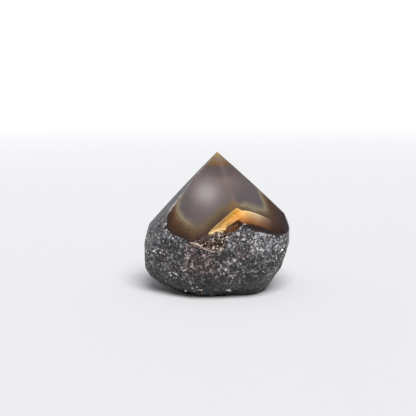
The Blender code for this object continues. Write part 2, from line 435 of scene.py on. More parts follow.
def stone_grid():
    """Headings of the stone's surface, as rows by columns.

    In each column the facet rows run straight from the tip to the rim. A finer band follows below the rim,
    then the skin down to the foot's edge, and a few rows across the foot. The rim and the foot's edge are
    found by halving, so that a row lies on each of them.
    """
    azimuths = column_azimuths()
    level = np.zeros(azimuths.shape)

    def kind_at(elevation):
        return surface(heading(azimuths, elevation))[1]

    scan = np.linspace(*RIM_SCAN)
    whole = np.stack([kind_at(level + elevation) == FACET for elevation in scan])
    first_off = np.argmin(whole, axis=0)
    rim = halved(lambda at: kind_at(at) == FACET, scan[first_off - 1], scan[first_off])
    foot_edge = halved(lambda at: kind_at(at) != FOOT, level + FOOT_SCAN[0], level + FOOT_SCAN[1])

    rim_unit = heading(azimuths, rim)
    rim_point = rim_unit * facet_reach(rim_unit)[:, None]
    facet_units = unit_of(TIP + (rim_point - TIP) * shares(FACET_ROWS)[..., None])

    band_end = smoothed_round(rim, azimuths, RIM_SMOOTHING) - RIM_BAND
    band = rim + (band_end - rim) * shares(RIM_ROWS)
    skin = band_end + (foot_edge - band_end) * shares(SKIN_ROWS)
    rows = np.concatenate([band, skin])
    lower_units = heading(np.broadcast_to(azimuths, rows.shape), rows)

    edge_unit = lower_units[-1]
    edge_point = edge_unit * (HEART[2] / -edge_unit[:, 2])[:, None]
    inward = (1.0 - np.arange(1, FOOT_ROWS + 1) / (FOOT_ROWS + 1.0))[:, None, None]
    foot_units = unit_of(FOOT_MIDDLE + (edge_point - FOOT_MIDDLE) * inward)
    return np.concatenate([facet_units, lower_units, foot_units])


# Meshes

BLOCK = 4000  # points whose distances are worked out at one time


def new_object(name, data):
    """An object at the origin, linked to the scene."""
    made = bpy.data.objects.new(name, data)
    bpy.context.scene.collection.objects.link(made)
    return made


def mesh_object(name, points, faces, materials):
    """A piece of the stone from points and faces, riding on the root body."""
    mesh = bpy.data.meshes.new(name)
    mesh.from_pydata(points.tolist(), [], faces)
    mesh.shade_smooth()
    for material in materials:
        mesh.materials.append(material)
    piece = new_object(name, mesh)
    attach(piece, "root")
    return piece


def set_attribute(mesh, name, values):
    """A number for each vertex of a mesh, which its material reads by name."""
    attribute = mesh.attributes.new(name, "FLOAT", "POINT")
    attribute.data.foreach_set("value", np.asarray(values, np.float32).ravel())


def nearest_distance(points, others):
    """Distance from each point to the nearest of the others, worked out in blocks."""
    found = np.empty(len(points))
    for start in range(0, len(points), BLOCK):
        block = points[start : start + BLOCK]
        apart = (block**2).sum(1)[:, None] + (others**2).sum(1)[None, :] - 2.0 * block @ others.T
        found[start : start + BLOCK] = np.sqrt(np.maximum(apart.min(axis=1), 0.0))
    return found


def depth_below(points, form):
    """Depth of points below a form: the gap along the line from the heart, times the form's slant there."""
    length = np.linalg.norm(points, axis=-1)
    unit = points / length[:, None]
    radius = form(unit)
    side = unit_of(np.cross(unit, [0.0, 0.0, 1.0]) + 1e-9)
    rise = np.cross(side, unit)
    small = 0.01
    slope_side = (form(unit + side * small) - radius) / (small * radius)
    slope_rise = (form(unit + rise * small) - radius) / (small * radius)
    return (radius - length) / np.sqrt(1.0 + slope_side**2 + slope_rise**2)


def smooth_least(first, second, softness):
    """The lesser of two values, with the change from one to the other rounded."""
    mix = np.clip(0.5 + 0.5 * (second - first) / softness, 0.0, 1.0)
    return second * (1.0 - mix) + first * mix - softness * mix * (1.0 - mix)


def grid_faces(rows, columns):
    """Quads of a surface that closes round, as corner numbers of a rows by columns grid, facing out."""
    row, column = np.meshgrid(np.arange(rows - 1), np.arange(columns), indexing="ij")
    here = row * columns + column
    beside = row * columns + (column + 1) % columns
    return np.stack([here, here + columns, beside + columns, beside], axis=-1).reshape(-1, 4)


def make_stone(materials):
    """The whole stone as one closed grid, with the depths that its materials read."""
    units = stone_grid()
    rows, columns = units.shape[:2]
    reach, kind, scoop = surface(units)
    reach[:FACET_ROWS] = facet_reach(units[:FACET_ROWS])
    kind[:FACET_ROWS] = FACET
    reach[-FOOT_ROWS:] = HEART[2] / -units[-FOOT_ROWS:, :, 2]
    kind[-FOOT_ROWS:] = FOOT

    up = np.array([[0.0, 0.0, 1.0]])
    body = units.reshape(-1, 3) * reach.reshape(-1, 1)
    points = np.concatenate([body, up * facet_reach(up)[:, None], FOOT_MIDDLE[None, :]])
    quads = grid_faces(rows, columns)
    ring = np.arange(columns)
    beside = (ring + 1) % columns
    last = (rows - 1) * columns
    tip_faces = np.stack([np.full(columns, len(body)), ring, beside], axis=-1)
    base_faces = np.stack([np.full(columns, len(body) + 1), last + beside, last + ring], axis=-1)
    faces = quads.tolist() + tip_faces.tolist() + base_faces.tolist()
    stone = mesh_object("agate_stone", points + HEART, faces, materials)
    finish = face_finishes(units, kind, scoop, quads)
    stone.data.polygons.foreach_set("material_index", finish.astype(np.int32))
    add_depths(stone.data, points, kind, columns)

    # Sharp edges: the facets' rim and the foot's edge
    mark_sharp_row(stone.data, columns, FACET_ROWS - 1)
    mark_sharp_row(stone.data, columns, FACET_ROWS + RIM_ROWS + SKIN_ROWS - 1)
    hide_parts("agate_point")


def face_finishes(units, kind, scoop, quads):
    """Which finish each face of the stone has: by its row, and below the rim by its corners."""
    rows, columns = kind.shape
    broken = kind == BROKEN
    in_pocket = broken & np.isin(scoop, [SCOOP_NAMES.index(name) for name in POCKETS])
    finish = np.where(is_worn(units).ravel()[quads[:, 0]], HONED_FINISH, SKIN_FINISH)
    finish[broken.ravel()[quads].mean(axis=1) >= 0.5] = BROKEN_FINISH
    finish[in_pocket.ravel()[quads].mean(axis=1) >= 0.5] = POCKET_FINISH
    azimuths = column_azimuths()
    honed = (azimuths >= FACET_EDGES[0][0] % 360) & (azimuths < FACET_EDGES[1][0] % 360)
    ground = np.where(honed, HONED_FINISH, POLISHED_FINISH)
    face_row = np.repeat(np.arange(rows - 1), columns)
    finish[face_row < FACET_ROWS - 1] = np.tile(ground, FACET_ROWS - 1)
    finish[face_row >= rows - 1 - FOOT_ROWS] = FOOT_FINISH
    return np.concatenate([finish, ground, np.full(columns, FOOT_FINISH)])


def mark_sharp_row(mesh, columns, row):
    """Splits the shading along one row of the grid."""
    ends = np.empty(len(mesh.edges) * 2, np.int32)
    mesh.edges.foreach_get("vertices", ends)
    ends = ends.reshape(-1, 2)
    sharp = np.all((ends >= row * columns) & (ends < (row + 1) * columns), axis=1)
    attribute = mesh.attributes.get("sharp_edge") or mesh.attributes.new("sharp_edge", "BOOLEAN", "EDGE")
    before = np.zeros(len(sharp), bool)
    attribute.data.foreach_get("value", before)
    attribute.data.foreach_set("value", sharp | before)


# The skin's rim higher than this above the heart is worn, and has no rind
LOW_RIM = 0.021

# How much further in the bands lie at the right, in millimetres, and the places across the front that this
# grows between
THICKER_RIND = 2.8
THICKER_PLACES = (22.0, 36.0)
RIM_SLANT = 1.25  # depth of the bands for each unit of distance from the skin's rim

# The cream band is lost between the left place and the right one, and comes back past them
CREAM_LOST_LEFT = (-20.0, -15.0)
CREAM_LOST_RIGHT = (15.0, 10.0)

# How softly, in millimetres, the depth of the bands changes over beside the skin's rim and the broken rim
SKIN_RIM_SOFTNESS = 1.0
BROKEN_RIM_SOFTNESS = 2.0

# Depth of the bands at the broken rim, and how it rises away from that rim, by the place across the front
DRAWN_PLACES = (-8.0, 2.0, 12.0, 18.0, 26.0, 34.0, 42.0)
DRAWN_STARTS = (0.8, 1.4, 5.6, 7.0, 7.5, 5.6, 2.0)
DRAWN_RISES = (1.2, 1.0, 0.8, 0.4, 0.33, 0.5, 1.2)


def add_depths(mesh, points, kind, columns):
    """Depths in millimetres, and shares from 0 to 1, that the materials read.

    band_depth is the depth below the wall that the bands follow. It falls to nothing at the skin's low rim,
    and near the broken rim it is drawn in by the distance to that rim. rim_gap is the distance to the broken
    rim, edge_gap that to the nearest edge between facets, and tip_depth the drop below the tip. relief is how
    far the skin's grain stands proud. cream_line is the strength of the thin cream band.
    """
    rim_row = np.arange(columns) + (FACET_ROWS - 1) * columns
    next_kind = kind.ravel()[rim_row + columns]
    low = points[rim_row, 2] < LOW_RIM
    rim_gap = nearest_distance(points, points[rim_row[next_kind == BROKEN]]) / MM
    skin_rim_gap = nearest_distance(points, points[rim_row[(next_kind == SKIN) & low]]) / MM
    skin_depth = depth_below(points, skin_form) / MM
    across = points[:, 0] / MM
    wall_depth = depth_below(points, lambda unit: flats_form(unit, BAND_FLATS)) / MM
    wall_depth = wall_depth - THICKER_RIND * rising(across, *THICKER_PLACES)
    depth = smooth_least(np.maximum(wall_depth, 0.0), RIM_SLANT * skin_rim_gap, SKIN_RIM_SOFTNESS)
    drawn = np.interp(across, DRAWN_PLACES, DRAWN_STARTS)
    drawn = drawn + rim_gap * np.interp(across, DRAWN_PLACES, DRAWN_RISES)
    lost = rising(across, *CREAM_LOST_LEFT) * rising(across, *CREAM_LOST_RIGHT)
    depth = smooth_least(depth, drawn, BROKEN_RIM_SOFTNESS)
    set_attribute(mesh, "skin_depth", np.maximum(skin_depth, 0.0))
    set_attribute(mesh, "relief", np.clip(-skin_depth, -1.0, 1.0))
    set_attribute(mesh, "band_depth", np.maximum(depth, 0.0))
    set_attribute(mesh, "rim_gap", rim_gap)
    set_attribute(mesh, "edge_gap", facet_edge_gap(points) / MM)
    set_attribute(mesh, "tip_depth", (TIP_ABOVE_HEART - points[:, 2]) / MM)
    set_attribute(mesh, "cream_line", 1.0 - lost)


def facet_edge_gap(points):
    """Distance from each point to the nearest of the edges that run down from the tip between two facets."""
    from_tip = points - TIP
    gaps = []
    for edge in unit_of(edge_directions()):
        gaps.append(np.linalg.norm(from_tip - (from_tip @ edge)[:, None] * edge, axis=1))
    return np.min(gaps, axis=0)


POLISHED_FINISH, SKIN_FINISH, BROKEN_FINISH, POCKET_FINISH, FOOT_FINISH, HONED_FINISH = range(6)

CRYSTAL_SIDES = 6
CRYSTAL_SHOULDER = 0.62  # height of a crystal's column as a share of the whole crystal

# Patches of light crumbs: azimuth, elevation, spread in degrees, how many, size in millimetres
CRUMB_PATCHES = (
    (-75, -15, 0.8, 2, 1.2), (-59, -11, 1.4, 5, 1.3), (-53, -13, 1.4, 5, 1.3), (-47, -16, 1.0, 2, 0.8),
    (-44, -28, 1.3, 5, 1.2), (-39, -30, 1.5, 3, 0.9), (-55, -36, 1.0, 2, 0.9),
    (28, -1, 1.0, 3, 0.8), (33, -5, 1.5, 4, 0.9), (38, -8, 1.5, 4, 0.8), (62, -9, 1.3, 5, 1.3),
    (70, 8, 1.0, 3, 1.2),
    (-2, -20, 0.8, 2, 0.7), (9, -25, 1.5, 4, 1.0), (20, -22, 1.0, 2, 0.8), (2, -28, 3.0, 6, 0.8),
    (-36, -45, 1.3, 5, 1.4), (-21, -42, 1.8, 7, 1.4), (13, -46, 1.5, 5, 1.4), (22, 14, 1.5, 5, 1.1),
    (-4, 3.6, 1.2, 5, 0.9), (2, 3.9, 1.4, 6, 0.9), (-6, 0, 0.4, 1, 1.3), (68, -14, 1.5, 3, 0.9),
)
LOWEST_CRUMB = 0.0016
CRUMB_SHAPE = np.array([0.62, 0.5, 1.25])  # half width, half depth and length of a crumb for its size
CRUMB_SUNK = 0.62  # share of its size that a crumb is sunk into the skin
CRUMB_LEAN = 0.9

# Scattered crumbs: how many are tried, the least size in millimetres, and how much larger the largest is
SCATTERED_CRUMBS = 1500
SCATTER_LEAST = 0.18
SCATTER_MORE = 0.42

# The pocket's crystals: how many are tried on each wall, the half width, half depth and length, how far each
# is sunk, how much they lean, and how far they stay below the skin and off the other scoops
DRUSE_TRIED = 420
DRUSE_SIZE = np.array([0.00062, 0.00058, 0.0021])
DRUSE_SUNK = 0.0006
DRUSE_LEAN = 0.42
DRUSE_BELOW_SKIN = 0.0009
DRUSE_OFF_SCOOPS = 0.0010
LARGER_ABOVE = 0.86  # a crystal whose random draw, from 0 to 1, is above this is larger
LARGER_BY = 1.55


def crystal_template():
    """One crystal as points and faces: a six-sided column of radius 1, under a tip at height 1."""
    turn = np.arange(CRYSTAL_SIDES) * 2.0 * math.pi / CRYSTAL_SIDES
    ring = np.stack([np.cos(turn), np.sin(turn), np.zeros(CRYSTAL_SIDES)], axis=1)
    shoulder = ring + np.array([0.0, 0.0, CRYSTAL_SHOULDER])
    points = np.concatenate([ring, shoulder, [[0.0, 0.0, 1.0]], [[0.0, 0.0, 0.0]]])
    faces = []
    for side in range(CRYSTAL_SIDES):
        beside = (side + 1) % CRYSTAL_SIDES
        faces.append((side, beside, CRYSTAL_SIDES + beside, CRYSTAL_SIDES + side))
        faces.append((CRYSTAL_SIDES + side, CRYSTAL_SIDES + beside, 2 * CRYSTAL_SIDES))
        faces.append((beside, side, 2 * CRYSTAL_SIDES + 1))
    return points, faces


def frames_along(axes):
    """For each unit axis, a turn whose third column is that axis."""
    helper = np.where(np.abs(axes[:, 2:3]) > 0.9, [[1.0, 0.0, 0.0]], [[0.0, 0.0, 1.0]])
    x = unit_of(np.cross(helper, axes))
    return np.stack([x, np.cross(axes, x), axes], axis=-1)


def repeated(template, places, turns, sizes):
    """Copies of a template, each scaled along its own axes, turned and placed: their points and faces."""
    shape, faces = template
    points = np.einsum("nij,npj->npi", turns, shape[None, :, :] * sizes[:, None, :]) + places[:, None, :]
    starts = np.arange(len(places))[:, None] * len(shape)
    joined = []
    for face in faces:
        joined.extend((starts + np.array(face)[None, :]).tolist())
    return points.reshape(-1, 3), joined


def crystal_piece(name, places, axes, sizes, rng, material):
    """Many crystals as one piece with flat faces, each crystal with its own random tone."""
    points, faces = repeated(crystal_template(), places, frames_along(axes), sizes)
    piece = mesh_object(name, points + HEART, faces, [material])
    piece.data.shade_flat()
    set_attribute(piece.data, "tone", np.repeat(rng.random(len(places)), 2 * CRYSTAL_SIDES + 2))


def make_druse(material):
    """The pocket's small crystals: each stands on the pocket's back wall and leans out of it.

    Points spiral out over the back half of each scoop's wall, and those that lie inside the stone and clear
    of the other scoops carry a crystal.
    """
    rng = np.random.default_rng(41)
    spread = 0.99 * np.sqrt((np.arange(DRUSE_TRIED) + 0.5) / DRUSE_TRIED)
    around = GOLDEN_ANGLE * np.arange(DRUSE_TRIED)
    local = np.stack([spread * np.cos(around), -np.sqrt(1.0 - spread**2), spread * np.sin(around)], axis=1)
    places, axes = [], []
    for name in POCKETS:
        wall = scoop_wall(name, local)
        length = np.linalg.norm(wall, axis=1)
        unit = wall / length[:, None]
        reach = np.minimum(skin_form(unit), facet_reach(unit))
        others = [index for index, other in enumerate(SCOOP_NAMES) if other != name]
        clear = scoop_gaps(wall)[:, others].min(axis=1) > DRUSE_OFF_SCOOPS
        real = clear & (length < reach - DRUSE_BELOW_SKIN)
        places.append(wall[real])
        axes.append(unit_of(SCOOPS[name][0] - wall)[real])
    places = np.concatenate(places)
    axes = unit_of(np.concatenate(axes) + rng.normal(0.0, DRUSE_LEAN, (len(places), 3)))
    size = rng.uniform(0.55, 1.0, len(places))
    size = size * np.where(rng.random(len(places)) > LARGER_ABOVE, LARGER_BY, 1.0)
    sizes = size[:, None] * DRUSE_SIZE
    crystal_piece("pocket_druse", places - axes * DRUSE_SUNK, axes, sizes, rng, material)


def make_crumbs(material):
    """Light grains of quartz seated in the skin: listed patches in front, and a thin scatter all round."""
    rng = np.random.default_rng(67)
    azimuths, elevations, sizes = [], [], []
    for azimuth, elevation, spread, count, size in CRUMB_PATCHES:
        azimuths.append(azimuth + rng.normal(0.0, spread, count))
        elevations.append(elevation + rng.normal(0.0, spread, count))
        sizes.append(size * rng.uniform(0.6, 1.15, count))
    around = unit_of(spiral_directions(SCATTERED_CRUMBS) + rng.normal(0.0, 0.03, (SCATTERED_CRUMBS, 3)))
    units = np.concatenate([heading(np.concatenate(azimuths), np.concatenate(elevations)), around])
    scattered = SCATTER_LEAST + SCATTER_MORE * rng.random(SCATTERED_CRUMBS) ** 2.5
    sizes = np.concatenate([*sizes, scattered]) * MM
    reach, kind, _ = surface(units)
    in_patch = np.arange(len(units)) < len(units) - SCATTERED_CRUMBS
    seated = (kind == SKIN) | ((kind == BROKEN) & in_patch)
    seated &= HEART[2] + units[:, 2] * reach > LOWEST_CRUMB
    units, sizes, reach = units[seated], sizes[seated], reach[seated]
    axes = unit_of(units + rng.normal(0.0, CRUMB_LEAN, units.shape))
    shape = sizes[:, None] * CRUMB_SHAPE * rng.uniform(0.75, 1.25, (len(sizes), 3))
    places = units * reach[:, None] - axes * (CRUMB_SUNK * sizes)[:, None]
    crystal_piece("light_crumbs", places, axes, shape, rng, material)


RIDGE_POINTS = 90
RIDGE_SIDES = 14
RIDGE_HEIGHT = 0.85  # height of a ridge as a share of its width
RIDGE_SMOOTHING = 2.5  # points along the ridge over which the surface under it is evened out
RIDGE_REACH = 6  # points on each side that this takes in


def smooth_path(points, count):
    """A smooth line through given points, by Catmull-Rom segments, as that many points."""
    points = np.array(points, float)
    ends = np.concatenate([[2 * points[0] - points[1]], points, [2 * points[-1] - points[-2]]])
    place = np.linspace(0.0, len(points) - 1.0001, count)
    segment = place.astype(int)
    t = (place - segment)[:, None]
    a, b, c, d = (ends[segment + step] for step in range(4))
    return 0.5 * (2 * b + (c - a) * t + (2 * a - 5 * b + 4 * c - d) * t**2 + (3 * b - a - 3 * c + d) * t**3)


def make_ridge(name, line, material, seed):
    """A low ridge of crust along a line of headings.

    A ring of points is carried along the line. Its width swells and thins by the given widths, its height
    is a share of its width, and grain breaks up its surface. The line stands off the surface by the lifts.
    """
    azimuth, elevation, lift, width = smooth_path(line, RIDGE_POINTS).T
    unit = heading(azimuth, elevation)
    bell = np.exp(-0.5 * (np.arange(-RIDGE_REACH, RIDGE_REACH + 1) / RIDGE_SMOOTHING) ** 2)
    padded = np.pad(surface(unit)[0], RIDGE_REACH, mode="edge")
    reach = np.convolve(padded, bell / bell.sum(), mode="valid")
    middle = unit * (reach + lift)[:, None]
    along = unit_of(np.gradient(middle, axis=0))
    side = unit_of(np.cross(along, unit))
    out = np.cross(side, along) * RIDGE_HEIGHT
    turn = (np.arange(RIDGE_SIDES) * 2.0 * math.pi / RIDGE_SIDES)[None, :, None]
    ring = side[:, None, :] * np.cos(turn) + out[:, None, :] * np.sin(turn)
    rounded = np.sqrt(np.clip(1.0 - np.abs(np.linspace(-1.0, 1.0, RIDGE_POINTS)) ** 6, 0.02, 1.0))
    points = middle[:, None, :] + ring * (width * rounded)[:, None, None]
    points = points + ring * layered(points, RIDGE_GRAIN, seed)[..., None]
    faces = [face[::-1] for face in grid_faces(RIDGE_POINTS, RIDGE_SIDES).tolist()]
    start = RIDGE_POINTS * RIDGE_SIDES
    last = start - RIDGE_SIDES
    for step in range(RIDGE_SIDES):
        beside = (step + 1) % RIDGE_SIDES
        faces.append((start, beside, step))
        faces.append((start + 1, last + step, last + beside))
    points = np.concatenate([points.reshape(-1, 3), [middle[0]], [middle[-1]]])
    mesh_object(name, points + HEART, faces, [material])


# Shader nodes


def feed(tree, node, sockets):
    """Puts numbers, colours or other nodes' outputs on a node's sockets."""
    for key, value in sockets.items():
        if isinstance(value, bpy.types.NodeSocket):
            tree.links.new(value, node.inputs[key])
        else:
            node.inputs[key].default_value = value


def put(tree, kind, sockets=None, **settings):
    """Adds a node with its settings and with what goes on its sockets."""
    node = tree.nodes.new(kind)
    for name, value in settings.items():
        setattr(node, name, value)
    feed(tree, node, sockets or {})
    return node


def calculated(tree, operation, first, second):
    """One step of arithmetic on two numbers or outputs."""
    return put(tree, "ShaderNodeMath", {0: first, 1: second}, operation=operation).outputs[0]


def linear(colour):
    """A colour as seen on a screen, from 0 to 1, turned into light."""
    return tuple(((c + 0.055) / 1.055) ** 2.4 if c > 0.04045 else c / 12.92 for c in colour)


def own_colour(seen, light):
    """The surface's own colour, where it looks as seen under that much light: the light is divided out."""
    return tuple(min(part / light, 1.0) for part in linear(seen))


def ramp(tree, factor, stops, span=1.0, light=1.0):
    """A colour ramp over stops of place and colour as seen in that light. Places are divided by the span."""
    if span != 1.0:
        factor = calculated(tree, "DIVIDE", factor, span)
    node = put(tree, "ShaderNodeValToRGB", {"Fac": factor})
    elements = node.color_ramp.elements
    elements.remove(elements[1])
    elements[0].position = stops[0][0] / span
    for place, colour in stops:
        element = elements[0] if place == stops[0][0] else elements.new(place / span)
        element.color = (*own_colour(colour, light), 1.0)
    return node.outputs["Color"]


def remapped(tree, value, given, wanted, **settings):
    """A number carried from its given range to the wanted one, and held at the ends."""
    low, high = given
    start, end = wanted
    sockets = {"Value": value, "From Min": low, "From Max": high, "To Min": start, "To Max": end}
    return put(tree, "ShaderNodeMapRange", sockets, **settings).outputs["Result"]


def mask_ramp(tree, value, low, high):
    """A mask that rises smoothly from 0 at the low value to 1 at the high one."""
    return remapped(tree, value, (low, high), (0.0, 1.0), interpolation_type="SMOOTHSTEP")


def plus(tree, first, second):
    """The sum of two numbers or outputs."""
    return calculated(tree, "ADD", first, second)


def less(tree, first, second):
    """The first less the second."""
    return calculated(tree, "SUBTRACT", first, second)


def times(tree, first, second):
    """The product of two numbers or outputs."""
    return calculated(tree, "MULTIPLY", first, second)


def inverse(tree, mask):
    """One less the mask."""
    return less(tree, 1.0, mask)


def mixed(tree, factor, first, second, blend="MIX"):
    """A colour mixed by a factor with a second one, which may be given as seen."""
    if isinstance(second, tuple):
        second = (*linear(second), 1.0)
    sockets = {0: factor, 6: first, 7: second}
    return put(tree, "ShaderNodeMix", sockets, data_type="RGBA", blend_type=blend).outputs[2]


def noise(tree, place, scale, detail, roughness=0.5, distortion=0.0):
    """Noise over a place in millimetres, with the scale as waves a millimetre."""
    sockets = {"Vector": place, "Scale": scale, "Detail": detail, "Roughness": roughness}
    return put(tree, "ShaderNodeTexNoise", {**sockets, "Distortion": distortion}).outputs["Fac"]


def attribute(tree, name):
    """A number that the mesh carries."""
    return put(tree, "ShaderNodeAttribute", attribute_name=name).outputs["Fac"]


def place_in_mm(tree):
    """The place on the object, in millimetres."""
    coordinates = put(tree, "ShaderNodeTexCoord").outputs["Object"]
    scaled = put(tree, "ShaderNodeVectorMath", {0: coordinates, 1: (1 / MM,) * 3}, operation="MULTIPLY")
    return scaled.outputs["Vector"]


def new_group(name, inputs, outputs):
    """A node group with its named inputs and outputs, and its two end nodes."""
    group = bpy.data.node_groups.new(name, "ShaderNodeTree")
    for socket_name, kind, value in inputs:
        socket = group.interface.new_socket(socket_name, in_out="INPUT", socket_type=kind)
        if value is not None:
            socket.default_value = value
    for socket_name, kind in outputs:
        group.interface.new_socket(socket_name, in_out="OUTPUT", socket_type=kind)
    return group, group.nodes.new("NodeGroupInput"), group.nodes.new("NodeGroupOutput")


def stone_grain_group():
    """Fine grain of stone: two sizes of noise mixed, as a value from 0 to 1 about a half."""
    group, start, end = new_group(
        "stone_grain",
        (("Place", "NodeSocketVector", None), ("Size", "NodeSocketFloat", 1.0)),
        (("Grain", "NodeSocketFloat"),),
    )
    scale = calculated(group, "DIVIDE", 1.0, start.outputs["Size"])
    coarse = noise(group, start.outputs["Place"], scale, 4.0, 0.62, 0.3)
    fine_scale = times(group, scale, 3.1)
    fine = noise(group, start.outputs["Place"], fine_scale, 2.0, 0.6)
    grain = plus(group, times(group, coarse, 0.65), times(group, fine, 0.35))
    group.links.new(grain, end.inputs["Grain"])
    return group


# Light that falls on the front facets, the skin and the ledge, where 1 makes a white surface look just white
FACET_LIGHT = 1.7
SKIN_LIGHT = 1.4
LEDGE_LIGHT = 0.9

# Colours of the agate as seen, by its depth in millimetres: with the cream band, and where that band is lost.
# The palest stops, deepest in, partly hold the soft highlight's blur as painted light
BAND_SPAN = 34.0
BAND_STOPS = (
    (0.0, (0.17, 0.09, 0.08)),
    (1.0, (0.205, 0.12, 0.09)),
    (3.0, (0.245, 0.15, 0.09)),
    (5.0, (0.30, 0.19, 0.11)),
    (6.8, (0.37, 0.265, 0.175)),
    (8.0, (0.47, 0.39, 0.29)),
    (8.9, (0.57, 0.52, 0.42)),
    (9.8, (0.46, 0.42, 0.38)),
    (10.8, (0.38, 0.335, 0.35)),
    (14.0, (0.39, 0.345, 0.35)),
    (20.0, (0.45, 0.39, 0.385)),
    (30.0, (0.52, 0.45, 0.43)),
)
SOFT_STOPS = (
    (0.0, (0.24, 0.14, 0.11)),
    (1.2, (0.27, 0.165, 0.12)),
    (3.0, (0.34, 0.23, 0.16)),
    (5.0, (0.38, 0.29, 0.20)),
    (7.0, (0.43, 0.345, 0.235)),
    (9.0, (0.44, 0.375, 0.30)),
    (11.0, (0.42, 0.365, 0.35)),
    (20.0, (0.45, 0.39, 0.385)),
    (30.0, (0.52, 0.45, 0.43)),
)
TIP_STOPS = (
    (0.0, (0.72, 0.60, 0.24)),
    (2.2, (0.69, 0.55, 0.20)),
    (3.6, (0.60, 0.51, 0.36)),
    (4.8, (0.54, 0.45, 0.38)),
    (6.2, (0.54, 0.43, 0.33)),
    (7.2, (0.51, 0.38, 0.20)),
    (8.6, (0.45, 0.34, 0.22)),
    (10.0, (0.39, 0.32, 0.29)),
    (12.0, (0.38, 0.32, 0.33)),
    (16.0, (0.41, 0.35, 0.34)),
    (20.0, (0.45, 0.38, 0.37)),
)


def swing(tree, place, scale, height, detail=2.0):
    """Noise about zero, with its full height."""
    return times(tree, less(tree, noise(tree, place, scale, detail), 0.5), height)


def agate_bands_group():
    """The agate's colour by depth: dark and amber rind, a thin cream band, then lilac chalcedony.

    The depth is warped a little by noise. Fine layers show in the rind and fade inward, clouds vary the
    inside, and near the tip the ochre bands of the nodule's top take over.
    """
    group, start, end = new_group(
        "agate_bands",
        (
            ("Place", "NodeSocketVector", None),
            ("Depth", "NodeSocketFloat", 0.0),
            ("Tip depth", "NodeSocketFloat", 50.0),
            ("Cream line", "NodeSocketFloat", 1.0),
        ),
        (("Colour", "NodeSocketColor"),),
    )
    place = start.outputs["Place"]
    warp = plus(group, swing(group, place, 0.09, 3.0), swing(group, place, 0.55, 0.7, 3.0))
    near_skin = mask_ramp(group, start.outputs["Depth"], 0.5, 6.0)
    depth = plus(group, start.outputs["Depth"], times(group, warp, near_skin))
    lined = ramp(group, depth, BAND_STOPS, BAND_SPAN, FACET_LIGHT)
    soft = ramp(group, depth, SOFT_STOPS, BAND_SPAN, FACET_LIGHT)
    colour = mixed(group, start.outputs["Cream line"], soft, lined)

    wave = plus(group, times(group, depth, 4.6), swing(group, place, 0.12, 5.0))
    layers = put(group, "ShaderNodeMath", {0: wave}, operation="SINE").outputs[0]
    in_rind = inverse(group, mask_ramp(group, depth, 5.5, 11.0))
    layer_height = plus(group, times(group, in_rind, 0.13), 0.02)
    cloud = swing(group, place, 0.05, 0.36, 3.0)
    shade = plus(group, plus(group, times(group, layers, layer_height), cloud), 1.0)
    shaded = put(group, "ShaderNodeVectorMath", {0: colour, 1: shade}, operation="MULTIPLY").outputs["Vector"]

    tip_depth = plus(group, start.outputs["Tip depth"], times(group, warp, 0.45))
    tip = ramp(group, tip_depth, TIP_STOPS, BAND_SPAN, FACET_LIGHT)
    tip_mask = inverse(group, mask_ramp(group, tip_depth, 14.0, 19.0))
    group.links.new(mixed(group, tip_mask, shaded, tip), end.inputs["Colour"])
    return group


def new_material(name):
    """An empty stone material: its tree, its Principled BSDF and the place in millimetres."""
    material = bpy.data.materials.new(name)
    material.use_nodes = True
    tree = material.node_tree
    return material, tree, tree.nodes["Principled BSDF"], place_in_mm(tree)


def bump(tree, shader, height, distance, strength):
    """Fine relief from a height between 0 and 1, with its real depth in metres."""
    node = put(tree, "ShaderNodeBump", {"Height": height, "Distance": distance, "Strength": strength})
    tree.links.new(node.outputs["Normal"], shader.inputs["Normal"])


def grain_of(tree, groups, place, size):
    """Grain of that size in millimetres."""
    node = put(tree, "ShaderNodeGroup", {"Place": place, "Size": size}, node_tree=groups["grain"])
    return node.outputs["Grain"]


def stretched_noise(tree, place, turn, scale, detail, roughness):
    """Noise drawn out along a slanting line: the place is turned by degrees about Y and scaled first."""
    sockets = {"Vector": place, "Rotation": (0.0, math.radians(turn), 0.0), "Scale": scale}
    stretched = put(tree, "ShaderNodeMapping", sockets).outputs["Vector"]
    return noise(tree, stretched, 1.0, detail, roughness)


def bands_of(tree, groups, place):
    """The agate's band colour, by the depths that the mesh carries."""
    values = {
        "Place": place,
        "Depth": attribute(tree, "band_depth"),
        "Tip depth": attribute(tree, "tip_depth"),
        "Cream line": attribute(tree, "cream_line"),
    }
    return put(tree, "ShaderNodeGroup", values, node_tree=groups["bands"]).outputs["Colour"]


def wear_and_edge_highlight(tree, groups, place, width, strength):
    """A mask of pale wear and painted highlight along the edges between facets, broken up by grain."""
    grain = grain_of(tree, groups, place, 2.6)
    near = inverse(tree, mask_ramp(tree, attribute(tree, "edge_gap"), 0.15 * width, width))
    patchy = times(tree, mask_ramp(tree, grain, 0.35, 0.65), strength)
    return times(tree, near, patchy)


QUARTZ_IOR = 1.54

# Spots on the stone: azimuth, elevation, distance from the heart, radius in millimetres
# A painted amber glow on the front facet above the ledge's peak, colour standing in for light through thin
# agate
PAINTED_GLOW_SPOT = (19, 30, 0.0418, 8.0)
# A pool of light painted on the skin's front right, where the key light falls
PAINTED_LIGHT_SPOT = (42, 0, 0.051, 26.0)
STAIN_SPOT = (-12, -17, 0.049, 21.0)


